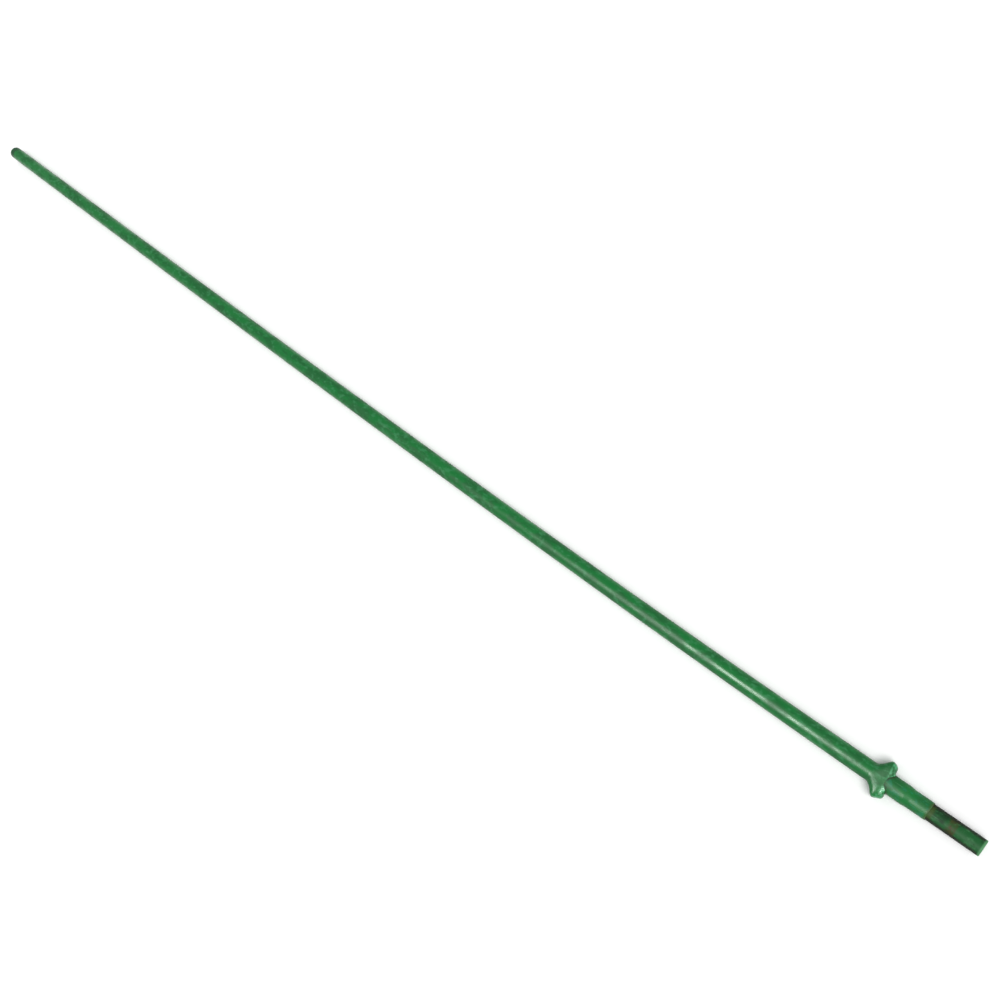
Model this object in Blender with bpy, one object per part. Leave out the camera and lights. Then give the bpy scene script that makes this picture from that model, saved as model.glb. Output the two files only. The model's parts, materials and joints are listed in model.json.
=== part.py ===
"""Lugged driving steel: a long round bar with a two-lug collar and a stepped striking shank.

It lies along X, +Z up, with the lugs pointing along +Y and -Y. The origin is the centre of the
striking face, and the bar runs away from it along -X. All sizes are in metres.
"""

import math

import bmesh
import bpy

# Driving dimensions
BAR_DIAMETER = 0.0254
OVERALL_LENGTH = 2.400
STRIKING_LENGTH = 0.0680
STRIKING_DIAMETER = 0.0222
NECK_LENGTH = 0.0515
NECK_ROOT_DIAMETER = 0.0260
NECK_END_DIAMETER = 0.0242
COLLAR_LENGTH = 0.0275
SEAM = 0.0003  # space left between touching pieces

# The bow that driving has given the bar. A BAR_SET of 0 makes a new, straight bar
BAR_SET = 0.0544  # how far the far end stands to +Y
BEND_SHARE = 0.40  # the share of the bar, beside the collar, that takes most of the bend

# Small features
STRIKING_CHAMFER = 0.0012
STEP_CHAMFER = 0.0006
TIP_CHAMFER = 0.0016
NECK_ROOT_SHARE = 0.39  # how much of the neck keeps its root diameter
NECK_TAPER_SHARE = 0.12  # how much of it tapers down to the end diameter
SEAT_INSIDE_DIAMETER = 0.0288  # where the lugs' flat front starts, outside the fillet at the neck
SEAT_LEAN = -0.0875  # how far the lugs' front reaches along X for each metre along Y
SEAT_DEPTH = 0.0017  # how far the front lies behind the neck's root, on the axis
CORE_STEP = 0.0001  # how far the collar's round core stands above the neck's root

# Detail of the round shapes
TURN_STEPS = 64
BAR_STATIONS = 20

# The collar's outline in bar diameters, from its back face towards the striking end:
# place along X, reach of the +Y lug, reach of the -Y lug, half thickness, squareness of the section.
# Squareness 2 is an ellipse, and higher values are nearer a rectangle. The lugs thin towards the
# front, so the round core comes out of them in a V on the top and on the underside.
COLLAR_SECTIONS = (
    (0.000, 0.500, 0.500, 0.500, 2.0),
    (0.100, 0.525, 0.512, 0.503, 2.1),
    (0.200, 0.600, 0.590, 0.508, 2.4),
    (0.300, 0.685, 0.675, 0.512, 2.7),
    (0.400, 0.795, 0.785, 0.515, 3.1),
    (0.500, 0.905, 0.930, 0.518, 3.5),
    (0.580, 0.980, 1.000, 0.520, 3.9),
    (0.650, 1.005, 1.000, 0.520, 4.1),
    (0.740, 0.995, 0.960, 0.516, 4.1),
    (0.820, 0.970, 0.915, 0.498, 3.9),
    (0.890, 0.935, 0.875, 0.455, 3.7),
    (0.955, 0.895, 0.835, 0.390, 3.4),
    (1.016, 0.820, 0.760, 0.310, 3.1),
)

# Places along X
STEP_X = -STRIKING_LENGTH
NECK_ROOT_X = STEP_X - NECK_LENGTH
COLLAR_BACK_X = NECK_ROOT_X - COLLAR_LENGTH
SEAT_X = NECK_ROOT_X - SEAT_DEPTH
TIP_X = -OVERALL_LENGTH


def clear_scene():
    for old in list(bpy.data.objects):
        bpy.data.objects.remove(old, do_unlink=True)


def material(name, colour, roughness, metallic):
    made = bpy.data.materials.new(name)
    made.use_nodes = True
    shader = made.node_tree.nodes["Principled BSDF"]
    shader.inputs["Base Color"].default_value = (*colour, 1.0)
    shader.inputs["Roughness"].default_value = roughness
    shader.inputs["Metallic"].default_value = metallic
    return made


def add_piece(name, mesh_builder, surface):
    """Turns a bmesh into a named object, shaded smooth but for its real edges."""
    bmesh.ops.recalc_face_normals(mesh_builder, faces=mesh_builder.faces)
    mesh = bpy.data.meshes.new(name)
    mesh_builder.to_mesh(mesh)
    mesh_builder.free()
    mesh.materials.append(surface)
    mesh.shade_smooth()
    mesh.set_sharp_from_angle(angle=math.radians(30))
    piece = bpy.data.objects.new(name, mesh)
    bpy.context.scene.collection.objects.link(piece)
    return piece


def ring(mesh_builder, points):
    return [mesh_builder.verts.new(point) for point in points]


def round_section(x, radius, centre_y=0.0):
    """The points of one circle across the X axis."""
    turns = [2 * math.pi * step / TURN_STEPS for step in range(TURN_STEPS)]
    return [(x, centre_y + radius * math.cos(turn), radius * math.sin(turn)) for turn in turns]


def collar_radii(core, reach_plus, reach_minus, half_thickness, squareness):
    """How far a section of the collar reaches in each direction: two lugs on a round core."""
    radii = []
    for step in range(TURN_STEPS):
        turn = 2 * math.pi * step / TURN_STEPS
        across, up = math.cos(turn), math.sin(turn)
        reach = reach_plus if across > 0 else reach_minus
        share = (abs(across) / reach) ** squareness + (abs(up) / half_thickness) ** squareness
        radii.append(max(core, share ** (-1 / squareness)))
    return radii


def collar_ring(x, lean, radii):
    """The points of one section of the collar, leaning along X by lean for each metre of Y."""
    points = []
    for step, radius in enumerate(radii):
        turn = 2 * math.pi * step / TURN_STEPS
        y = radius * math.cos(turn)
        points.append((x + lean * y, y, radius * math.sin(turn)))
    return points


def loft(sections):
    """A closed skin through rings of points, with a flat face at each end."""
    skin = bmesh.new()
    rings = [ring(skin, points) for points in sections]
    for one, following in zip(rings, rings[1:]):
        for step in range(TURN_STEPS):
            ahead = (step + 1) % TURN_STEPS
            skin.faces.new((one[step], one[ahead], following[ahead], following[step]))
    skin.faces.new(rings[0])
    skin.faces.new(rings[-1])
    return skin


def bar_centre(x):
    """How far the bar's centreline stands to +Y at x: a hyperbola, level at the collar."""
    run = (COLLAR_BACK_X - x) / (COLLAR_BACK_X - TIP_X)
    rise = math.hypot(run, BEND_SHARE) - BEND_SHARE
    return BAR_SET * rise / (math.hypot(1, BEND_SHARE) - BEND_SHARE)


def build_drive_bar(paint):
    """The long bar, chamfered at its far end, with the gentle bow that driving gives it."""
    radius = BAR_DIAMETER / 2
    start = TIP_X + TIP_CHAMFER
    end = COLLAR_BACK_X - SEAM
    sections = [round_section(TIP_X, radius - TIP_CHAMFER, bar_centre(TIP_X))]
    for station in range(BAR_STATIONS + 1):
        x = start + (end - start) * station / BAR_STATIONS
        sections.append(round_section(x, radius, bar_centre(x)))
    return add_piece("drive_bar", loft(sections), paint)


def build_lug_collar(paint):
    """The forged collar: round at the bar, flaring at 45 degrees into two blunt lugs.

    Its sections stand square at the back and lean more and more towards the front, where the flat
    seats of the two lugs lie in one leaning plane. A fillet leads from there to the neck's root.
    """
    front_place = COLLAR_SECTIONS[-1][0]
    bar, neck = BAR_DIAMETER / 2, NECK_ROOT_DIAMETER / 2
    sections = []
    for place, plus, minus, thickness, squareness in COLLAR_SECTIONS:
        share = place / front_place
        x = COLLAR_BACK_X + (SEAT_X - COLLAR_BACK_X) * share
        core = bar + (neck + CORE_STEP - bar) * share
        reaches = [BAR_DIAMETER * value for value in (plus, minus, thickness)]
        radii = collar_radii(core, *reaches, squareness)
        sections.append(collar_ring(x, SEAT_LEAN * share**2, radii))
    inside = SEAT_INSIDE_DIAMETER / 2
    fillet = collar_radii(neck, inside, inside, neck, 2.0)
    inner = [min(outer - CORE_STEP, wanted) for outer, wanted in zip(radii, fillet)]
    sections.append(collar_ring(SEAT_X, SEAT_LEAN, inner))
    sections.append(round_section(NECK_ROOT_X, neck))
    return add_piece("lug_collar", loft(sections), paint)


def build_shank_neck(paint):
    """The thicker neck in front of the collar, which runs in the driver's bushing."""
    back = NECK_ROOT_X + SEAM
    front = STEP_X
    root, slim = NECK_ROOT_DIAMETER / 2, NECK_END_DIAMETER / 2
    taper_start = back + NECK_ROOT_SHARE * NECK_LENGTH
    taper_end = taper_start + NECK_TAPER_SHARE * NECK_LENGTH
    profile = (
        (back, root),
        (taper_start, root),
        (taper_end, slim),
        (front - STEP_CHAMFER, slim),
        (front, slim - STEP_CHAMFER),
    )
    return add_piece("shank_neck", loft([round_section(x, r) for x, r in profile]), paint)


def build_striking_shank(steel):
    """The slimmer shank that the driver's piston strikes, with a chamfered face."""
    radius = STRIKING_DIAMETER / 2
    profile = (
        (STEP_X + SEAM, radius),
        (-STRIKING_CHAMFER, radius),
        (0.0, radius - STRIKING_CHAMFER),
    )
    return add_piece("striking_shank", loft([round_section(x, r) for x, r in profile]), steel)


def main():
    clear_scene()
    green = (0.008, 0.145, 0.032)
    worn_green = (0.012, 0.085, 0.024)
    build_drive_bar(material("green_paint", green, 0.45, 0.0))
    build_lug_collar(material("collar_paint", green, 0.42, 0.0))
    build_shank_neck(material("neck_paint", green, 0.48, 0.0))
    build_striking_shank(material("worn_shank_paint", worn_green, 0.6, 0.0))


main()
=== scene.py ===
# %% [markdown]
# # A lugged driving steel
#
# A long round bar with a forged two-lug collar near one end and a stepped shank in front of it.
# A machine holds it by the lugs and hammers on the end of the shank. It is painted green, and
# the last part of the shank is dull, dirty and rust-stained from its work.
#
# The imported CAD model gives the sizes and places. This lesson makes the fine surface around it:
# round stock with worn edges, a collar that looks forged, and paint that has seen some use.

# %% Load the frame
import json
import math

import bmesh
import bpy
from mathutils import Matrix, Vector, noise
from mathutils.bvhtree import BVHTree


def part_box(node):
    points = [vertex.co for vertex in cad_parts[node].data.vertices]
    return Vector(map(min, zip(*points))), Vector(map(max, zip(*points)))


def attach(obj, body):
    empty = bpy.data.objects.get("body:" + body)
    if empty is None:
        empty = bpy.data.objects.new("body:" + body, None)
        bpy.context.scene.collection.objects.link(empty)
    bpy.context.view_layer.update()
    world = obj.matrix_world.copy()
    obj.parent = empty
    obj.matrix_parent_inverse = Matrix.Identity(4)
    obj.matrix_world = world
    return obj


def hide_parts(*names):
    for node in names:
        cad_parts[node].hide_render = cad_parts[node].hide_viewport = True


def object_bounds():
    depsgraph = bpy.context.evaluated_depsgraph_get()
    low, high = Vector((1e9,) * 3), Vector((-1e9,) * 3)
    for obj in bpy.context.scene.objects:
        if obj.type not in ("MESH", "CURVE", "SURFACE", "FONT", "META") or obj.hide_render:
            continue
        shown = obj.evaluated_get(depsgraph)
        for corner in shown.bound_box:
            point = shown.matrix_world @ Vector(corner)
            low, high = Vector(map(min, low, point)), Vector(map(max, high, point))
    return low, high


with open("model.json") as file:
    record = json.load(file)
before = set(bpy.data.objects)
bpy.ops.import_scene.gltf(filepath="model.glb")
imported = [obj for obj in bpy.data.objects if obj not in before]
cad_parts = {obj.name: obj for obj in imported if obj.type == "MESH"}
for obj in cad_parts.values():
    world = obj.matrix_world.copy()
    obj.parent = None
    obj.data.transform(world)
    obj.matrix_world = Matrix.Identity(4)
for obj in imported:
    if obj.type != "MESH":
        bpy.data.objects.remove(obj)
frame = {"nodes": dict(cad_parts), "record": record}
cad_low, cad_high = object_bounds()
print("CAD box", tuple(cad_low), tuple(cad_high))

# %% [markdown]
# ## Sizes from the frame
#
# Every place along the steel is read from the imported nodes' boxes and from the record's mounts,
# so a change in the CAD model carries through. The bar's bow is a hyperbola: most of the bend is
# beside the collar, and farther out the bar is nearly straight. Only the share of the bar that
# takes the bend is repeated here.

# %% Sizes from the frame
mounts = {mount["name"]: mount for mount in frame["record"]["mounts"]}
TIP_X, BOW = mounts["tip_face"]["pos_m"][:2]
BEND_SHARE = 0.40

_, bar_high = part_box("drive_bar")
collar_low, collar_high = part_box("lug_collar")
neck_low, neck_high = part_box("shank_neck")
shank_low, shank_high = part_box("striking_shank")

BAR_RADIUS = bar_high.z
NECK_RADIUS = neck_high.z
SHANK_RADIUS = shank_high.z
NECK_SLIM_RADIUS = 0.0121  # the neck's radius past its taper
OVERLAP = 0.003  # how far a fine piece reaches into its neighbour, so that no seam shows
NECK_REACH = 0.0070  # how far the neck's skin runs back between the lugs, which thin to their front
print("bar", BAR_RADIUS, "neck", NECK_RADIUS, "shank", SHANK_RADIUS, "bow", BOW)

# %% [markdown]
# ## Small helpers for node trees
#
# Shader trees and geometry trees are built from the same few moves: add a node, and feed each of
# its sockets with either a plain value or another node's output. One helper does both, which
# keeps the trees below short enough to read.


# %% Helpers for node trees
def add(tree, kind, feeds=None, **settings):
    """Adds a node. feeds maps a socket's name or number to a value or to another socket."""
    node = tree.nodes.new(kind)
    for name, value in settings.items():
        setattr(node, name, value)
    for key, value in (feeds or {}).items():
        if isinstance(value, bpy.types.NodeSocket):
            tree.links.new(value, node.inputs[key])
        else:
            node.inputs[key].default_value = value
    return node


def maths(tree, operation, first, second=0.0, clamp=False):
    node = add(tree, "ShaderNodeMath", {0: first, 1: second}, operation=operation, use_clamp=clamp)
    return node.outputs[0]


def ramp(tree, value, low, high, start=0.0, end=1.0):
    """A smooth step from start to end while value goes from low to high."""
    feeds = {"Value": value, 1: low, 2: high, 3: start, 4: end}
    return add(tree, "ShaderNodeMapRange", feeds, interpolation_type="SMOOTHSTEP").outputs[0]


def unit(value):
    """Keeps a plain value between 0 and 1."""
    return min(1.0, max(0.0, value))


def blend_colour(tree, share, under, over):
    feeds = {0: share, 6: under, 7: over}
    return add(tree, "ShaderNodeMix", feeds, data_type="RGBA").outputs[2]


def speckle(tree, vector, size, detail=2.0, roughness=0.5, stretch=(1, 1, 1), seed=0.0):
    """Noise from 0 to 1 whose blots are about size metres, longer along the axes stretch names."""
    scaled = add(tree, "ShaderNodeVectorMath", {0: vector, 1: stretch}, operation="DIVIDE")
    feeds = {"Vector": scaled.outputs[0], "W": seed, "Scale": 1 / size}
    feeds |= {"Detail": detail, "Roughness": roughness}
    return add(tree, "ShaderNodeTexNoise", feeds, noise_dimensions="4D").outputs["Fac"]


def new_group(name, kind, inputs, outputs):
    """An empty node group. inputs and outputs map a socket's name to its type or default value."""
    tree = bpy.data.node_groups.new(name, kind)
    kinds = {float: "NodeSocketFloat", int: "NodeSocketInt", tuple: "NodeSocketColor"}
    for side, sockets in (("INPUT", inputs), ("OUTPUT", outputs)):
        for label, value in sockets.items():
            named = isinstance(value, str)
            socket_type = value if named else kinds[type(value)]
            socket = tree.interface.new_socket(name=label, in_out=side, socket_type=socket_type)
            if not named:
                socket.default_value = value
    return tree, tree.nodes.new("NodeGroupInput").outputs, tree.nodes.new("NodeGroupOutput").inputs


print("helpers ready")

# %% [markdown]
# ## Round stock as one geometry node tree
#
# The bar, the neck and the striking shank are all the same thing: a round section carried along
# a line, with worn edges at its ends. One tree makes all three. It resamples a line, moves its
# points onto the bow, gives every point its radius, and sweeps a circle along it. A Crowding near 0
# packs the points at the back end, where the bar's tip needs them, and a large one spaces them
# evenly.
#
# Rolled steel under thick paint isn't a perfect cylinder. Two slow noises, one long and one short,
# pull the skin inwards, by up to 0.12 mm on the bar and 0.3 mm on the shank, so highlights waver as
# on a real bar. They never push outwards, so the skin stays inside the CAD model's box.


# %% Round stock tree
def bow_of(tree, x):
    """The bow as nodes: (hypot(run, share) - share), scaled to BOW at the tip."""
    run = maths(tree, "DIVIDE", maths(tree, "SUBTRACT", collar_low.x, x), collar_low.x - TIP_X)
    run = maths(tree, "MAXIMUM", run, 0.0)
    squares = maths(tree, "ADD", maths(tree, "MULTIPLY", run, run), BEND_SHARE**2)
    rise = maths(tree, "SUBTRACT", maths(tree, "SQRT", squares), BEND_SHARE)
    return maths(tree, "MULTIPLY", rise, BOW / (math.hypot(1, BEND_SHARE) - BEND_SHARE))


def worn_edge(tree, distance, size):
    """How much an edge rounded to this size takes off the radius, this far from the end."""
    near = maths(tree, "SUBTRACT", 1.0, maths(tree, "DIVIDE", distance, size), clamp=True)
    left = maths(tree, "SUBTRACT", 1.0, maths(tree, "MULTIPLY", near, near))
    fall = maths(tree, "SUBTRACT", 1.0, maths(tree, "SQRT", left))
    return maths(tree, "MULTIPLY", fall, size)


def round_stock_tree():
    inputs = {
        "Start X": 0.0,
        "End X": 1.0,
        "Start Radius": 0.01,
        "End Radius": 0.01,
        "Taper Start X": 0.0,
        "Taper End X": 1.0,
        "Start Edge": 0.001,
        "End Edge": 0.001,
        "Unevenness": 0.0001,
        "Seed": 1.0,
        "Crowding": 0.05,
        "Stations": 200,
        "Sides": 128,
        "Finish": "NodeSocketMaterial",
    }
    tree, given, out = new_group(
        "round stock", "GeometryNodeTree", inputs, {"Geometry": "NodeSocketGeometry"}
    )
    line = add(tree, "GeometryNodeCurvePrimitiveLine", {"End": (1.0, 0.0, 0.0)})
    feeds = {"Curve": line.outputs[0], "Count": given["Stations"]}
    spine = add(tree, "GeometryNodeResampleCurve", feeds)
    share = add(tree, "GeometryNodeSplineParameter").outputs["Factor"]
    crowded = maths(tree, "MULTIPLY", share, maths(tree, "ADD", share, given["Crowding"]))
    crowded = maths(tree, "DIVIDE", crowded, maths(tree, "ADD", 1.0, given["Crowding"]))
    length = maths(tree, "SUBTRACT", given["End X"], given["Start X"])
    x = maths(tree, "ADD", given["Start X"], maths(tree, "MULTIPLY", crowded, length))
    place = add(tree, "ShaderNodeCombineXYZ", {"X": x, "Y": bow_of(tree, x)})
    feeds = {"Geometry": spine.outputs[0], "Position": place.outputs[0]}
    bent = add(tree, "GeometryNodeSetPosition", feeds)

    along = add(tree, "ShaderNodeSeparateXYZ", {0: add(tree, "GeometryNodeInputPosition").outputs[0]})
    here = along.outputs["X"]
    taper = given["Taper Start X"], given["Taper End X"]
    radius = ramp(tree, here, *taper, given["Start Radius"], given["End Radius"])
    from_start = maths(tree, "SUBTRACT", here, given["Start X"])
    to_end = maths(tree, "SUBTRACT", given["End X"], here)
    radius = maths(tree, "SUBTRACT", radius, worn_edge(tree, from_start, given["Start Edge"]))
    radius = maths(tree, "SUBTRACT", radius, worn_edge(tree, to_end, given["End Edge"]))
    circle = add(tree, "GeometryNodeCurvePrimitiveCircle", {"Resolution": given["Sides"], "Radius": 1.0})
    feeds = {"Curve": bent.outputs[0], "Profile Curve": circle.outputs[0]}
    feeds |= {"Scale": radius, "Fill Caps": True}
    swept = add(tree, "GeometryNodeCurveToMesh", feeds)

    position = add(tree, "GeometryNodeInputPosition").outputs[0]
    long_wave = speckle(tree, position, 0.030, 1.0, 0.4, (3, 1, 1), given["Seed"])
    short_wave = speckle(tree, position, 0.006, 1.0, 0.4, (1.5, 1, 1), given["Seed"])
    long_share = maths(tree, "MULTIPLY", long_wave, 0.7)
    waves = maths(tree, "ADD", long_share, maths(tree, "MULTIPLY", short_wave, 0.3))
    inwards = maths(tree, "MULTIPLY", maths(tree, "SUBTRACT", waves, 1.0), given["Unevenness"])
    normal = add(tree, "GeometryNodeInputNormal").outputs[0]
    feeds = {0: normal, "Scale": inwards}
    push = add(tree, "ShaderNodeVectorMath", feeds, operation="SCALE")
    feeds = {"Geometry": swept.outputs[0], "Offset": push.outputs[0]}
    uneven = add(tree, "GeometryNodeSetPosition", feeds)
    whole = add(tree, "GeometryNodeRealizeInstances", {0: uneven.outputs[0]})
    feeds = {"Geometry": whole.outputs[0], "Material": given["Finish"]}
    painted = add(tree, "GeometryNodeSetMaterial", feeds)
    tree.links.new(painted.outputs[0], out["Geometry"])
    return tree


stock_tree = round_stock_tree()
print("round stock tree:", len(stock_tree.nodes), "nodes")

# %% [markdown]
# ## From a tree to a plain mesh
#
# A modifier's input is set by its socket's identifier. The evaluated result is then copied into
# a plain mesh and the modifier is thrown away, so what is left is ordinary geometry. The flat
# ends come out of the sweep as one many-sided face each, which can't carry any relief, so each is
# rebuilt as rings closing in on its centre.

# %% Make a piece of round stock
FACE_RINGS = 14


def ringed_face(builder, face, relief):
    """Rebuilds a many-sided end face as closing rings, each pushed inwards by relief(place)."""
    rim = list(face.verts)
    centre = face.calc_center_median()
    inward = -face.normal.copy()
    builder.faces.remove(face)
    outer = rim
    for step in range(1, FACE_RINGS):
        inner = []
        for corner in rim:
            place = corner.co.lerp(centre, step / FACE_RINGS)
            inner.append(builder.verts.new(place + inward * relief(place, step / FACE_RINGS)))
        for here in range(len(rim)):
            ahead = (here + 1) % len(rim)
            builder.faces.new((outer[here], outer[ahead], inner[ahead], inner[here]))
        outer = inner
    middle = builder.verts.new(centre + inward * relief(centre, 1.0))
    for here in range(len(rim)):
        builder.faces.new((outer[here], outer[(here + 1) % len(rim)], middle))


def round_stock(name, values, relief, open_end, edge_width):
    """Runs the tree with these inputs and returns a plain mesh object.

    Its edge attribute is 1 at the open end and fades to 0 over edge_width.
    """
    base = bpy.data.objects.new(name, bpy.data.meshes.new(name))
    bpy.context.scene.collection.objects.link(base)
    modifier = base.modifiers.new("round stock", "NODES")
    modifier.node_group = stock_tree
    sockets = {item.name: item.identifier for item in stock_tree.interface.items_tree}
    for label, value in values.items():
        modifier[sockets[label]] = value
    graph = bpy.context.evaluated_depsgraph_get()
    mesh = bpy.data.meshes.new_from_object(base.evaluated_get(graph))
    base.modifiers.remove(modifier)
    base.data = mesh

    builder = bmesh.new()
    builder.from_mesh(mesh)
    for face in [face for face in builder.faces if len(face.verts) > 4]:
        ringed_face(builder, face, relief)
    bmesh.ops.recalc_face_normals(builder, faces=builder.faces)
    builder.to_mesh(mesh)
    builder.free()
    edge = mesh.attributes.new("edge", "FLOAT", "POINT")
    for index, vertex in enumerate(mesh.vertices):
        to_open_end = abs(vertex.co.x - values[open_end])
        edge.data[index].value = max(0.0, 1 - to_open_end / edge_width)
    mesh.shade_smooth()
    mesh.set_sharp_from_angle(angle=math.radians(40))
    print(name, len(mesh.vertices), "points")
    return base


# %% [markdown]
# ## Shared effects as shader groups
#
# Five effects turn up on more than one finish, so each is a group with its own inputs. The groups
# put out only colours, masks and heights, and each finish keeps its own shader.
#
# The first is mottle. Paint brushed or sprayed over rolled steel is a little lighter and darker in
# patches, and it dries with a fine orange-peel height. One image of it would repeat along a bar
# this long, so it is made from noise at three sizes, which never repeats.


# %% Paint mottle
def mottle_group():
    inputs = {
        "Vector": "NodeSocketVector",
        "Paint": (0.02, 0.2, 0.05, 1.0),
        "Dark": (0.01, 0.1, 0.03, 1.0),
        "Light": (0.05, 0.3, 0.1, 1.0),
    }
    outputs = {"Color": (0.0, 0.0, 0.0, 1.0), "Height": 0.0, "Unevenness": 0.0}
    tree, given, out = new_group("paint mottle", "ShaderNodeTree", inputs, outputs)
    vector = given["Vector"]
    wide = speckle(tree, vector, 0.016, 3.0, 0.6, (2.2, 1, 1), 1.3)
    close = speckle(tree, vector, 0.006, 3.0, 0.6, (1.6, 1, 1), 4.1)
    peel = speckle(tree, vector, 0.0012, 2.0, 0.5, (1, 1, 1), 7.7)
    darker = ramp(tree, wide, 0.44, 0.60, 0.0, 0.85)
    lighter = ramp(tree, close, 0.50, 0.66, 0.0, 0.70)
    colour = blend_colour(tree, darker, given["Paint"], given["Dark"])
    colour = blend_colour(tree, lighter, colour, given["Light"])
    fine = maths(tree, "MULTIPLY", peel, 0.3)
    height = maths(tree, "ADD", fine, maths(tree, "MULTIPLY", close, 0.7))
    tree.links.new(colour, out["Color"])
    tree.links.new(height, out["Height"])
    tree.links.new(wide, out["Unevenness"])
    return tree


mottle = mottle_group()
print("mottle:", len(mottle.nodes), "nodes")

# %% [markdown]
# Scuffs are long thin rub marks from sliding on the ground and in the rack. Noise stretched 28 times
# along X gives streaks, and a second, cloudy noise keeps them in patches, because a bar isn't rubbed
# evenly all along.


# %% Scuffs
def scuffs_group():
    inputs = {"Vector": "NodeSocketVector", "Amount": 0.5}
    tree, given, out = new_group("scuffs", "ShaderNodeTree", inputs, {"Mask": 0.0})
    vector = given["Vector"]
    lines = speckle(tree, vector, 0.0012, 2.0, 0.6, (28, 1, 1), 2.2)
    clouds = speckle(tree, vector, 0.035, 2.0, 0.5, (3, 1, 1), 9.4)
    threshold = maths(tree, "SUBTRACT", 0.78, maths(tree, "MULTIPLY", given["Amount"], 0.18))
    mask = ramp(tree, lines, threshold, maths(tree, "ADD", threshold, 0.06))
    mask = maths(tree, "MULTIPLY", mask, ramp(tree, clouds, 0.45, 0.62))
    tree.links.new(mask, out["Mask"])
    return tree


scuffs = scuffs_group()
print("scuffs:", len(scuffs.nodes), "nodes")

# %% [markdown]
# Chips are small flakes of lost paint. They are sparse in the open and crowd together where an edge
# is worn, so the edge input lowers the level at which the noise counts as bare.


# %% Chips
def chips_group():
    inputs = {"Vector": "NodeSocketVector", "Edge": 0.0, "Amount": 0.5}
    tree, given, out = new_group("chips", "ShaderNodeTree", inputs, {"Mask": 0.0})
    vector = given["Vector"]
    fine = speckle(tree, vector, 0.0035, 4.0, 0.65, (1.4, 1, 1), 3.6)
    broad = speckle(tree, vector, 0.022, 2.0, 0.5, (2, 1, 1), 6.8)
    fine_share = maths(tree, "MULTIPLY", fine, 0.75)
    bare = maths(tree, "ADD", fine_share, maths(tree, "MULTIPLY", broad, 0.25))
    reach = maths(tree, "MULTIPLY", given["Edge"], 0.26)
    reach = maths(tree, "ADD", reach, maths(tree, "MULTIPLY", given["Amount"], 0.1))
    threshold = maths(tree, "SUBTRACT", 0.74, reach)
    mask = ramp(tree, bare, threshold, maths(tree, "ADD", threshold, 0.03))
    tree.links.new(mask, out["Mask"])
    return tree


chips = chips_group()
print("chips:", len(chips.nodes), "nodes")

# %% [markdown]
# Rust is the brown of bare steel that has stood outside. It is nearly black in its pits and orange
# only in a few stains, so two noises blend three colours.


# %% Rust
RUST_PIT = (0.018, 0.011, 0.008, 1.0)
RUST_BROWN = (0.075, 0.040, 0.018, 1.0)
RUST_ORANGE = (0.16, 0.075, 0.028, 1.0)


def rust_group():
    inputs = {"Vector": "NodeSocketVector"}
    outputs = {"Color": (0.1, 0.05, 0.02, 1.0), "Height": 0.0}
    tree, given, out = new_group("rust", "ShaderNodeTree", inputs, outputs)
    pits = speckle(tree, given["Vector"], 0.0016, 5.0, 0.65, (1, 1, 1), 5.5)
    stains = speckle(tree, given["Vector"], 0.009, 3.0, 0.6, (1, 1, 1), 8.2)
    colour = blend_colour(tree, ramp(tree, pits, 0.35, 0.6), RUST_PIT, RUST_BROWN)
    colour = blend_colour(tree, ramp(tree, stains, 0.55, 0.8, 0.0, 0.6), colour, RUST_ORANGE)
    tree.links.new(colour, out["Color"])
    tree.links.new(pits, out["Height"])
    return tree


rust = rust_group()
print("rust:", len(rust.nodes), "nodes")

# %% [markdown]
# The fifth group marks a band round the steel between two places along X, with a ragged, softly
# fading border. Stains that a bushing or a clamp leaves are bands like this.


# %% Bands along the steel
def band_group():
    inputs = {
        "Vector": "NodeSocketVector",
        "Start X": 0.0,
        "End X": 1.0,
        "Softness": 0.002,
        "Raggedness": 0.002,
    }
    tree, given, out = new_group("band", "ShaderNodeTree", inputs, {"Mask": 0.0})
    x = add(tree, "ShaderNodeSeparateXYZ", {0: given["Vector"]}).outputs["X"]
    wobble = maths(tree, "SUBTRACT", speckle(tree, given["Vector"], 0.006, 3.0, 0.6), 0.5)
    wobble = maths(tree, "MULTIPLY", maths(tree, "MULTIPLY", wobble, 2.0), given["Raggedness"])
    x = maths(tree, "ADD", x, wobble)
    half = maths(tree, "MULTIPLY", given["Softness"], 0.5)
    past_border = []
    for border in (given["Start X"], given["End X"]):
        low, high = maths(tree, "SUBTRACT", border, half), maths(tree, "ADD", border, half)
        past_border.append(ramp(tree, x, low, high))
    tree.links.new(maths(tree, "SUBTRACT", *past_border, clamp=True), out["Mask"])
    return tree


band = band_group()
print("band:", len(band.nodes), "nodes")

# %% [markdown]
# ## The finishes
#
# The bar, collar and neck share one green enamel and differ in how worn they are. The last part of
# the shank works inside the machine, and its paint is rubbed thin and stained. All their colours
# stand here together, as linear values, so that they can be tuned side by side.

# %% Colours
ENAMEL = (0.0035, 0.140, 0.026, 1.0)
ENAMEL_DARK = (0.0020, 0.092, 0.018, 1.0)
ENAMEL_LIGHT = (0.031, 0.196, 0.070, 1.0)
ENAMEL_BLUISH = (0.008, 0.165, 0.074, 1.0)
# Pale thin paint, which on the lugs is also a painted highlight.
THIN_PAINT_AND_HIGHLIGHT = (0.070, 0.340, 0.150, 1.0)
CHALKY = (0.14, 0.33, 0.17, 1.0)
OLIVE = (0.040, 0.070, 0.012, 1.0)
WORN_GREEN = (0.010, 0.088, 0.022, 1.0)
WORN_DARK = (0.005, 0.030, 0.009, 1.0)
WORN_LIGHT = (0.036, 0.150, 0.052, 1.0)
RING_BROWN = (0.042, 0.041, 0.010, 1.0)
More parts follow.
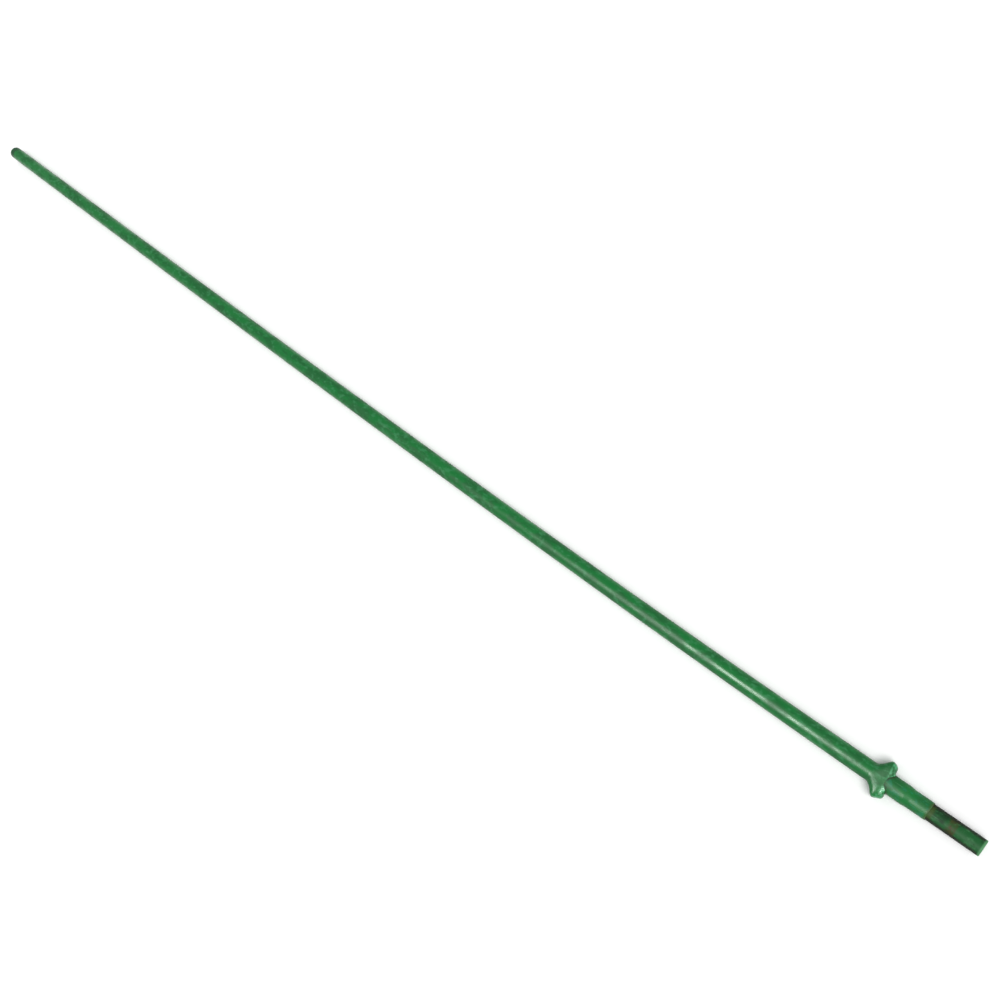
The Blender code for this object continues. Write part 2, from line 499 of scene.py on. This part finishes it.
# Painted shade for the two sides of the shank.
SIDE_SHADE = (0.008, 0.009, 0.005, 1.0)
TIP_SOIL = (0.006, 0.040, 0.016, 1.0)
# Dirt and painted shade for the creases.
CREASE_DIRT_AND_SHADE = (0.022, 0.020, 0.009, 1.0)
# Worn paint and painted highlight for the struck edge.
STRUCK_WEAR_AND_HIGHLIGHT = (0.085, 0.260, 0.110, 1.0)
print("enamel green", ENAMEL[:3])

# %% [markdown]
# Both finishes start and end in the same way: a Principled shader with its gloss set, the object's
# own coordinates, the piece's edge attribute, and at the end a colour, a roughness and one bump.
# The bump's depth is in metres, and it is shallow, because real paint film is thin.


# %% Material helpers
def group_node(tree, group, **feeds):
    """Places a group. Its input names have spaces where the keywords have underscores."""
    node = add(tree, "ShaderNodeGroup", node_tree=group)
    for key, value in feeds.items():
        label = key.replace("_", " ")
        if isinstance(value, bpy.types.NodeSocket):
            tree.links.new(value, node.inputs[label])
        else:
            node.inputs[label].default_value = value
    return node.outputs


def new_material(name, gloss):
    made = bpy.data.materials.new(name)
    made.use_nodes = True
    shader = made.node_tree.nodes["Principled BSDF"]
    shader.inputs["Specular IOR Level"].default_value = gloss
    vector = add(made.node_tree, "ShaderNodeTexCoord").outputs["Object"]
    edge = add(made.node_tree, "ShaderNodeAttribute", attribute_name="edge").outputs["Fac"]
    return made, made.node_tree, shader, vector, edge


def finish_surface(tree, shader, colour, roughness, height, depth):
    """Feeds the shader. depth is how tall the height of 1 stands, in metres."""
    tree.links.new(colour, shader.inputs["Base Color"])
    tree.links.new(roughness, shader.inputs["Roughness"])
    bump = add(tree, "ShaderNodeBump", {"Height": height, "Distance": depth, "Strength": 1.0})
    tree.links.new(bump.outputs[0], shader.inputs["Normal"])


print("material helpers ready")

# %% [markdown]
# The enamel's colour runs between a dark and a light tone. Paint is thin and pale on worn edges and
# where the machine's jaws rub the lugs, and on the lugs' edges and front shoulders the pale paint is
# also a painted highlight. Scuffs turn it chalky, and chips go down to rust. Dirt and painted shade
# darken the creases, and one band of a piece may be soiled: the far end by the ground, and the neck's
# step by the bushing. Paint that the jaws rub is smoother, and paint in the creases is duller.


# %% Green enamel
ENAMEL_GLOSS = 0.19
ENAMEL_RELIEF = 0.00045


def green_enamel(name, wear, chipping, sheen, light=ENAMEL_LIGHT, stain=None):
    """The shared paint. wear and chipping go from 0 to 1, sheen is the lowest and highest roughness.

    stain is a soiled band: the places along X where it starts and ends, and its colour.
    """
    made, tree, shader, vector, edge = new_material(name, ENAMEL_GLOSS)
    paint = group_node(tree, mottle, Vector=vector, Paint=ENAMEL, Dark=ENAMEL_DARK, Light=light)
    dirt_and_shade = add(tree, "ShaderNodeAttribute", attribute_name="crease").outputs["Fac"]
    jaws_and_highlight = add(tree, "ShaderNodeAttribute", attribute_name="jaw_rub").outputs["Fac"]
    rubbed = group_node(tree, scuffs, Vector=vector, Amount=wear)["Mask"]
    flakes = group_node(tree, chips, Vector=vector, Edge=edge, Amount=chipping)["Mask"]
    metal = group_node(tree, rust, Vector=vector)
    uneven_edge = maths(tree, "MULTIPLY", edge, maths(tree, "ADD", paint["Unevenness"], 0.5))
    # Pale thin paint on worn edges and the jaws' rub, which on the lugs also serves as a painted
    # highlight.
    thin_and_highlight = maths(tree, "MULTIPLY", ramp(tree, uneven_edge, 0.25, 0.95), 0.6)
    thin_and_highlight = maths(tree, "MAXIMUM", thin_and_highlight, jaws_and_highlight)
    colour = blend_colour(tree, thin_and_highlight, paint["Color"], THIN_PAINT_AND_HIGHLIGHT)
    colour = blend_colour(tree, maths(tree, "MULTIPLY", rubbed, 0.28), colour, CHALKY)
    colour = blend_colour(tree, flakes, colour, metal["Color"])
    if stain:
        start, end, stain_colour = stain
        soiled = group_node(
            tree, band, Vector=vector, Start_X=start, End_X=end, Softness=0.004, Raggedness=0.0015
        )["Mask"]
        colour = blend_colour(tree, maths(tree, "MULTIPLY", soiled, 0.75), colour, stain_colour)
    # Dirt and painted shade darken the creases.
    colour = blend_colour(tree, maths(tree, "MULTIPLY", dirt_and_shade, 0.92), colour, CREASE_DIRT_AND_SHADE)
    roughness = ramp(tree, paint["Unevenness"], 0.38, 0.62, *sheen)
    roughness = maths(tree, "SUBTRACT", roughness, maths(tree, "MULTIPLY", jaws_and_highlight, 0.14))
    roughness = maths(tree, "ADD", roughness, maths(tree, "MULTIPLY", dirt_and_shade, 0.3))
    roughness = maths(tree, "ADD", roughness, maths(tree, "MULTIPLY", flakes, 0.35), clamp=True)
    height = maths(tree, "MULTIPLY", paint["Height"], 0.25)
    height = maths(tree, "SUBTRACT", height, maths(tree, "MULTIPLY", flakes, 0.75))
    finish_surface(tree, shader, colour, roughness, height, ENAMEL_RELIEF)
    return made


BEYOND = 1.0  # a band that runs off the end of a piece starts or ends this far outside it
TIP_SOIL_LENGTH = 0.016
OLIVE_LENGTH = 0.0022

bar_paint = green_enamel(
    "bar_paint",
    wear=0.85,
    chipping=0.05,
    sheen=(0.30, 0.50),
    stain=(TIP_X - BEYOND, TIP_X + TIP_SOIL_LENGTH, TIP_SOIL),
)
collar_paint = green_enamel("collar_paint", wear=0.45, chipping=0.15, sheen=(0.34, 0.50))
neck_paint = green_enamel(
    "neck_paint",
    wear=0.9,
    chipping=0.35,
    sheen=(0.36, 0.56),
    light=ENAMEL_BLUISH,
    stain=(neck_high.x - OLIVE_LENGTH, neck_high.x + BEYOND, OLIVE),
)
print("enamels:", bar_paint.name, collar_paint.name, neck_paint.name)

# %% [markdown]
# The striking shank slides in the machine's bushing and is hammered on its end. Its paint has an
# olive band at the step, a brown ring half-way along where it wears in the bushing, painted shade
# darkening both sides, and a lighter rim at the struck edge that is worn paint and a painted
# highlight. The bands are placed along X, and the painted shade is placed by how far a point lies
# from the middle, with noise to break up both.


# %% Worn paint of the striking shank
RING_START_X, RING_END_X = -0.0440, -0.0340
STEP_STAIN_END_X = -0.0635
WORN_GLOSS = 0.09
WORN_RELIEF = 0.00050


def painted_side_shade(tree, vector):
    """Painted shade darkening the two sides of the shank, broken up by noise."""
    across = add(tree, "ShaderNodeSeparateXYZ", {0: vector}).outputs["Y"]
    side = maths(tree, "DIVIDE", maths(tree, "ABSOLUTE", across), SHANK_RADIUS)
    ragged = maths(tree, "MULTIPLY", speckle(tree, vector, 0.005, 4.0, 0.65, (2.5, 1, 1), 1.9), 0.7)
    return ramp(tree, maths(tree, "ADD", side, ragged), 0.86, 1.22)


def worn_shank_paint():
    made, tree, shader, vector, edge = new_material("worn_shank_paint", WORN_GLOSS)
    paint = group_node(tree, mottle, Vector=vector, Paint=WORN_GREEN, Dark=WORN_DARK, Light=WORN_LIGHT)
    rubbed = group_node(tree, scuffs, Vector=vector, Amount=1.0)["Mask"]
    soft_edge = maths(tree, "MULTIPLY", edge, 0.3)
    flakes = group_node(tree, chips, Vector=vector, Edge=soft_edge, Amount=0.9)["Mask"]
    metal = group_node(tree, rust, Vector=vector)
    extent = {"Start_X": shank_low.x - BEYOND, "End_X": STEP_STAIN_END_X}
    step = group_node(tree, band, Vector=vector, Softness=0.004, Raggedness=0.0015, **extent)["Mask"]
    extent = {"Start_X": RING_START_X, "End_X": RING_END_X}
    ring = group_node(tree, band, Vector=vector, Softness=0.005, Raggedness=0.002, **extent)["Mask"]
    colour = blend_colour(tree, maths(tree, "MULTIPLY", rubbed, 0.30), paint["Color"], CHALKY)
    colour = blend_colour(tree, maths(tree, "MULTIPLY", step, 0.75), colour, OLIVE)
    blots = speckle(tree, vector, 0.005, 3.0, 0.6, (1, 1, 1), 2.7)
    blotches = ramp(tree, blots, 0.40, 0.60, 0.45, 0.98)
    colour = blend_colour(tree, maths(tree, "MULTIPLY", ring, blotches), colour, RING_BROWN)
    # Painted shade down the two sides of the shank.
    dirt_and_shade = maths(tree, "MULTIPLY", painted_side_shade(tree, vector), 0.85)
    colour = blend_colour(tree, dirt_and_shade, colour, SIDE_SHADE)
    colour = blend_colour(tree, maths(tree, "MULTIPLY", flakes, 0.85), colour, metal["Color"])
    # A lighter rim at the struck edge: worn paint and a painted highlight.
    struck_and_highlight = maths(tree, "MULTIPLY", ramp(tree, edge, 0.15, 0.75), 0.85)
    colour = blend_colour(tree, struck_and_highlight, colour, STRUCK_WEAR_AND_HIGHLIGHT)
    roughness = ramp(tree, paint["Unevenness"], 0.3, 0.7, 0.48, 0.62)
    roughness = maths(tree, "ADD", roughness, maths(tree, "MULTIPLY", flakes, 0.2), clamp=True)
    height = maths(tree, "MULTIPLY", paint["Height"], 0.35)
    height = maths(tree, "SUBTRACT", height, maths(tree, "MULTIPLY", flakes, 0.65))
    finish_surface(tree, shader, colour, roughness, height, WORN_RELIEF)
    return made


shank_paint = worn_shank_paint()
print("worn paint:", shank_paint.name)

# %% [markdown]
# ## The three pieces of round stock
#
# The faces at the two ends come first. The bar's tip is cut flat and a little rough. The striking
# face is peened: hammering dishes it slightly and leaves shallow dents. Each relief is a function
# from a place on the face to how deep the steel lies there.


# %% Reliefs for the end faces
def cut_relief(place, share):
    """A flat-cut face: shallow and slightly rough, always inwards."""
    rough = 0.5 + 0.5 * noise.noise(place * 400)
    return 0.00012 * rough * min(1.0, 3 * share)


def peened_relief(place, share):
    """A struck face: a slight dish with broad dents."""
    dish = 0.00025 * share**2
    dents = 0.00035 * max(0.0, noise.noise(place * 260 + Vector((3.1, 0, 0))))
    fine = 0.00008 * (0.5 + 0.5 * noise.noise(place * 900))
    return (dish + dents + fine) * min(1.0, 3 * share)


print("reliefs ready")

# %% [markdown]
# The bar reads its ends from its CAD node and reaches a little into the collar, so that no seam
# shows. Its stations lie close together at the tip, which has the worn edge, and up to 7 mm apart
# beside the collar, which hides the bar's other end.

# %% The bar
LEAN_ROOM = 0.0005  # the bowed bar's end face stands aslant, so it starts this far inside the box
bar = round_stock(
    "bar_skin",
    {
        "Start X": TIP_X + LEAN_ROOM,
        "End X": collar_low.x + OVERLAP,
        "Start Radius": BAR_RADIUS,
        "End Radius": BAR_RADIUS,
        "Start Edge": 0.0018,
        "End Edge": 0.0002,
        "Unevenness": 0.00012,
        "Seed": 2.0,
        "Crowding": 0.04,
        "Stations": 640,
        "Sides": 112,
        "Finish": bar_paint,
    },
    cut_relief,
    open_end="Start X",
    edge_width=0.004,
)

# %% [markdown]
# The neck starts inside the collar, between the lugs, and narrows before the step. Its front edge
# is rounded by wear, and only that edge is marked for thin paint and chips.

# %% The neck
neck_length = neck_high.x - neck_low.x
neck = round_stock(
    "neck_skin",
    {
        "Start X": neck_low.x - NECK_REACH,
        "End X": neck_high.x,
        "Start Radius": NECK_RADIUS,
        "End Radius": NECK_SLIM_RADIUS,
        "Taper Start X": neck_low.x + 0.36 * neck_length,
        "Taper End X": neck_low.x + 0.54 * neck_length,
        "Start Edge": 0.0010,
        "End Edge": 0.0009,
        "Unevenness": 0.00016,
        "Seed": 5.0,
        "Crowding": 8.0,
        "Stations": 160,
        "Sides": 144,
        "Finish": neck_paint,
    },
    cut_relief,
    open_end="End X",
    edge_width=0.002,
)

# %% [markdown]
# The striking shank starts inside the neck. Work in the bushing has left it less even than the
# rest, and its struck edge is the most worn of all.

# %% The striking shank
shank = round_stock(
    "striking_skin",
    {
        "Start X": shank_low.x - OVERLAP,
        "End X": shank_high.x,
        "Start Radius": SHANK_RADIUS,
        "End Radius": SHANK_RADIUS,
        "Start Edge": 0.0002,
        "End Edge": 0.0013,
        "Unevenness": 0.00030,
        "Seed": 8.0,
        "Crowding": 8.0,
        "Stations": 220,
        "Sides": 144,
        "Finish": shank_paint,
    },
    peened_relief,
    open_end="End X",
    edge_width=0.0045,
)

# %% [markdown]
# ## The forged collar
#
# A drop-forged collar has no sharp edge anywhere: the steel flows into a die, and the lugs come
# out with soft shoulders, slightly dimpled skin and a faint raised line where the two halves of
# the die met. The CAD solid has the right form in flat facets. It could be sculpted again from
# scratch, but a copy of it keeps the right form for free: welded into one skin, remeshed into even
# small cells, and relaxed so that the facets melt and the edges round over.

# %% A relaxed copy of the CAD collar
CELL = 0.00036
RELAX_STEPS = 9
WELD_DISTANCE = 1e-6


def copy_of_node(name, node):
    piece = bpy.data.objects.new(name, frame["nodes"][node].data.copy())
    bpy.context.scene.collection.objects.link(piece)
    builder = bmesh.new()
    builder.from_mesh(piece.data)
    bmesh.ops.remove_doubles(builder, verts=builder.verts, dist=WELD_DISTANCE)
    builder.to_mesh(piece.data)
    builder.free()
    return piece


def apply_modifiers(piece):
    graph = bpy.context.evaluated_depsgraph_get()
    mesh = bpy.data.meshes.new_from_object(piece.evaluated_get(graph))
    piece.modifiers.clear()
    piece.data = mesh


collar = copy_of_node("collar_forging", "lug_collar")
remesh = collar.modifiers.new("even cells", "REMESH")
remesh.mode = "VOXEL"
remesh.voxel_size = CELL
relax = collar.modifiers.new("relax", "SMOOTH")
relax.factor = 0.5
relax.iterations = RELAX_STEPS
apply_modifiers(collar)
print("collar_forging", len(collar.data.vertices), "points")

# %% [markdown]
# The lugs thin towards their front, and the round core comes out between them. Where they leave the
# core, the CAD facets make a stepped line that relaxing the whole collar wouldn't remove without
# melting the lugs too. So only the points near the core's surface are smoothed, many times.

# %% Soften the core's line
CORE_LINE_REACH = 0.011  # how far back from the collar's front the line is smoothed
CORE_LINE_WIDTH = 0.0022
CORE_LINE_STEPS = 26


def soften_core_line(mesh):
    """Smooths the line where the lugs leave the round core, which the CAD facets leave stepped."""
    builder = bmesh.new()
    builder.from_mesh(mesh)
    near = []
    for vertex in builder.verts:
        off_core = abs(math.hypot(vertex.co.y, vertex.co.z) - NECK_RADIUS)
        if vertex.co.x > collar_high.x - CORE_LINE_REACH and off_core < CORE_LINE_WIDTH:
            near.append(vertex)
    for _ in range(CORE_LINE_STEPS):
        bmesh.ops.smooth_vert(
            builder, verts=near, factor=0.5, use_axis_x=True, use_axis_y=True, use_axis_z=True
        )
    builder.to_mesh(mesh)
    builder.free()
    return len(near)


print("points smoothed at the core:", soften_core_line(collar.data))

# %% [markdown]
# Then the skin is pressed in by noise, all but along the parting line on the lugs, which stays as a
# fine ridge. The core between the thinned fronts of the lugs sinks a little, so that the neck's
# skin shows there and meets the lugs in a V.

# %% Press the forging's skin
DIMPLE_DEPTH = 0.00022
PARTING_HALF_WIDTH = 0.0007
PARTING_HEIGHT = 0.00012
CORE_SINK = 0.0004  # how far the collar's core sinks below the neck's skin
CORE_FADE = 0.0008  # the distance over which the sinking fades in


def press_forging_skin(mesh):
    """Pushes the skin in by slow noise, and leaves a fine ridge at Z = 0 on the lugs."""
    places = [vertex.co.copy() for vertex in mesh.vertices]
    normals = [vertex.normal.copy() for vertex in mesh.vertices]
    for vertex, place, normal in zip(mesh.vertices, places, normals):
        broad = 0.5 + 0.5 * noise.noise(place * 170)
        fine = 0.5 + 0.5 * noise.noise(place * 520 + Vector((9.2, 0, 0)))
        depth = DIMPLE_DEPTH * (0.65 * broad + 0.35 * fine)
        on_lug = unit((abs(place.y) - 0.6 * BAR_RADIUS) / BAR_RADIUS)
        beside = min(1.0, abs(place.z) / PARTING_HALF_WIDTH)
        flash = (1 - beside**2) * on_lug
        depth = (depth + PARTING_HEIGHT * on_lug) * (1 - flash)
        over_core = (math.hypot(place.y, place.z) - NECK_RADIUS) / CORE_FADE
        in_reach = (place.x - (neck_low.x - NECK_REACH)) / CORE_FADE
        if over_core < 1 and in_reach > 0:
            depth += CORE_SINK * min(1.0, 1 - over_core) * min(1.0, in_reach)
        vertex.co = place - normal * depth


press_forging_skin(collar.data)
collar.data.update()
print("collar front at", round(max(vertex.co.x for vertex in collar.data.vertices), 5))

# %% [markdown]
# Paint wears on what stands out, and dirt and painted shade darken what is hollow. A point that lies
# outside the average of its neighbours is on an edge, and one that lies inside it is in a crease. A
# few rounds of averaging make both marks wide and soft, and they are stored as attributes that the
# paint reads.

# %% Mark the collar's edges and creases
BULGE_ROUNDS = 4


def mark_edges(mesh):
    """Marks where the skin bulges (edge) and where it is hollow (crease), each from 0 to 1."""
    sums = [Vector() for _ in mesh.vertices]
    counts = [0] * len(mesh.vertices)
    for first, second in (edge.vertices for edge in mesh.edges):
        sums[first] += mesh.vertices[second].co
        sums[second] += mesh.vertices[first].co
        counts[first] += 1
        counts[second] += 1
    bulge = []
    for vertex, total, count in zip(mesh.vertices, sums, counts):
        bulge.append((vertex.co - total / max(count, 1)).dot(vertex.normal) / CELL)
    for _ in range(BULGE_ROUNDS):
        spread = bulge[:]
        for first, second in (edge.vertices for edge in mesh.edges):
            spread[first] += bulge[second]
            spread[second] += bulge[first]
        bulge = [value / (count + 1) for value, count in zip(spread, counts)]
    edge = mesh.attributes.new("edge", "FLOAT", "POINT")
    crease = mesh.attributes.new("crease", "FLOAT", "POINT")
    for index, value in enumerate(bulge):
        edge.data[index].value = unit((value - 0.02) / 0.07)
        crease.data[index].value = unit((-value - 0.012) / 0.05)


mark_edges(collar.data)
print("bulge marked on", len(collar.data.attributes["edge"].data), "points")

# %% [markdown]
# The machine's jaws hold the steel by the front of its lugs and rub the paint there thin, pale and
# smooth, and the pale paint there is also a painted highlight. The mark takes the points whose skin
# faces partly forward, and noise keeps it patchy.


# %% Mark the jaws' rub and painted highlight
def mark_jaw_rub_and_highlight(mesh):
    """Marks the lugs' front shoulders, where the jaws that hold the steel rub the paint pale; the pale
    paint is also a painted highlight.
    """
    rub_and_highlight = mesh.attributes.new("jaw_rub", "FLOAT", "POINT")
    for index, vertex in enumerate(mesh.vertices):
        forward = vertex.normal.x
        # The rub fades in as the skin turns 10 to 29 degrees forward, and out from 50 to 76.
        shoulder = unit((forward - 0.18) / 0.3)
        shoulder *= unit((0.97 - forward) / 0.2)
        on_lug = unit((abs(vertex.co.y) - 0.004) / 0.004)
        patchy = unit(0.55 + 1.6 * noise.noise(vertex.co * 260))
        rub_and_highlight.data[index].value = 0.9 * shoulder * on_lug * patchy


mark_jaw_rub_and_highlight(collar.data)
collar.data.materials.clear()
collar.data.materials.append(collar_paint)
collar.data.shade_smooth()
print("collar painted:", collar.data.materials[0].name)

# %% [markdown]
# Dirt and painted shade darken the neck where it runs out of the collar. Each point of the neck looks
# for the nearest point of the lugs, and is marked as crease when one is close. The collar's core lies
# just under the neck's skin, so its faces are taken out of the search first.

# %% Dirt and painted shade where the neck leaves the collar
DIRT_AND_SHADE_REACH = 0.0042
CORE_MARGIN = 0.0002


def gather_dirt_and_shade(mesh, neighbour, reach):
    """Marks the points of mesh within reach of the neighbour's skin outside the round core."""
    builder = bmesh.new()
    builder.from_mesh(neighbour)
    centres = ((face, face.calc_center_median()) for face in builder.faces)
    core = [face for face, at in centres if math.hypot(at.y, at.z) < NECK_RADIUS + CORE_MARGIN]
    bmesh.ops.delete(builder, geom=core, context="FACES")
    lugs = BVHTree.FromBMesh(builder)
    builder.free()
    crease = mesh.attributes.new("crease", "FLOAT", "POINT")
    dirty_and_shaded = 0
    for index, vertex in enumerate(mesh.vertices):
        gap = lugs.find_nearest(vertex.co, reach)[3]
        if gap is not None:
            ragged = 0.9 + 0.9 * noise.noise(vertex.co * 350)
            crease.data[index].value = unit(ragged * (1 - gap / reach))
            dirty_and_shaded += 1
    return dirty_and_shaded


print("dirty points on the neck:", gather_dirt_and_shade(neck.data, collar.data, DIRT_AND_SHADE_REACH))

# %% [markdown]
# ## Hand the pieces to the frame
#
# Each fine piece stands for one CAD node and rides on the only body, because nothing on this
# steel moves. The third column names the finish each piece shows, which it was given above; this loop
# doesn't use it.

# %% Ride and replace
STANDS_FOR = (
    (bar, "drive_bar", "bar_paint"),
    (collar, "lug_collar", "collar_paint"),
    (neck, "shank_neck", "neck_paint"),
    (shank, "striking_shank", "worn_shank_paint"),
)
for piece, node, finish in STANDS_FOR:
    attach(piece, "root")
    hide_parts(node)
    print(piece.name, "stands for", node)

# %% [markdown]
# ## Floor, light and camera
#
# The steel lies on a plain white studio floor, which ends just under the CAD model's box.

# %% Floor
FLOOR_SIZE = 24.0
FLOOR_GAP = 0.0002
floor_mesh = bpy.data.meshes.new("studio_floor")
builder = bmesh.new()
bmesh.ops.create_grid(builder, x_segments=8, y_segments=8, size=FLOOR_SIZE / 2)
builder.to_mesh(floor_mesh)
builder.free()
floor = bpy.data.objects.new("studio_floor", floor_mesh)
floor.location = (TIP_X / 2, 0.0, cad_low.z - FLOOR_GAP)
bpy.context.scene.collection.objects.link(floor)
floor_paint = bpy.data.materials.new("floor_paint")
floor_paint.use_nodes = True
floor_shader = floor_paint.node_tree.nodes["Principled BSDF"]
floor_shader.inputs["Base Color"].default_value = (0.90, 0.90, 0.90, 1.0)
floor_shader.inputs["Roughness"].default_value = 0.9
floor_shader.inputs["Specular IOR Level"].default_value = 0.1
floor_mesh.materials.append(floor_paint)
print("floor at", floor.location.z)

# %% [markdown]
# Even light from all round and a broad overhead lamp light the steel. The world looks plain white
# to the camera, whatever its strength as a light, so that no grey horizon shows behind the floor.
# Two soft lamps show only in shiny surfaces: one at the side draws the pale line along the near
# half of the bar, and one in front puts a glint on the lugs. A lamp that also lit the paint would
# cast a second shadow on the floor.

# %% Light
SKY_STRENGTH = 0.66
world = bpy.data.worlds.new("studio")
world.use_nodes = True
backdrop = world.node_tree.nodes["Background"]
backdrop.inputs["Color"].default_value = (1.0, 1.0, 1.0, 1.0)
seen = add(world.node_tree, "ShaderNodeLightPath").outputs["Is Camera Ray"]
strength = maths(world.node_tree, "MAXIMUM", seen, SKY_STRENGTH)
world.node_tree.links.new(strength, backdrop.inputs["Strength"])
bpy.context.scene.world = world
bpy.context.scene.view_settings.view_transform = "Standard"


def aim_at(thing, place, aim):
    thing.location = place
    thing.rotation_euler = (Vector(aim) - Vector(place)).to_track_quat("-Z", "Y").to_euler()
    bpy.context.scene.collection.objects.link(thing)


def glint_lamp(name, place, aim, size, power):
    """A soft lamp that is seen only in shiny surfaces, so it draws highlights and no shadows."""
    light = bpy.data.lights.new(name, "AREA")
    light.shape = "RECTANGLE"
    light.size, light.size_y = size
    light.energy = power
    lamp = bpy.data.objects.new(name, light)
    lamp.visible_diffuse = False
    aim_at(lamp, place, aim)


glint_lamp("side_strip", (-0.80, -0.77, 1.70), (-0.80, 0.0, 0.0), (0.80, 0.95), 105.0)
glint_lamp("front_panel", (1.35, -0.25, 0.62), (-0.12, 0.0, 0.0), (0.70, 0.70), 45.0)
overhead_light = bpy.data.lights.new("overhead", "SUN")
overhead_light.energy = 2.1
overhead_light.angle = math.radians(30)
aim_at(bpy.data.objects.new("overhead", overhead_light), (0.55, -0.05, 1.0), (0.0, 0.0, 0.0))

# %% [markdown]
# The camera stands over the striking end and looks down along the bar, so the far end shrinks with
# distance. It is rolled, so that the steel runs from corner to corner of the view.

# %% Camera
EYE = Vector((0.0373, 0.0, 1.4192))
AIM = Vector((-0.8038, 0.0194, 0.0))
ROLL = math.radians(-54.26)
camera_data = bpy.data.cameras.new("camera")
camera_data.lens = 38.486
camera_data.sensor_width = 36.0
camera = bpy.data.objects.new("camera", camera_data)
turn = (AIM - EYE).to_track_quat("-Z", "Y").to_matrix().to_4x4()
camera.matrix_world = Matrix.Translation(EYE) @ turn @ Matrix.Rotation(ROLL, 4, "Z")
bpy.context.scene.collection.objects.link(camera)
bpy.context.scene.camera = camera
print("camera at", tuple(EYE))
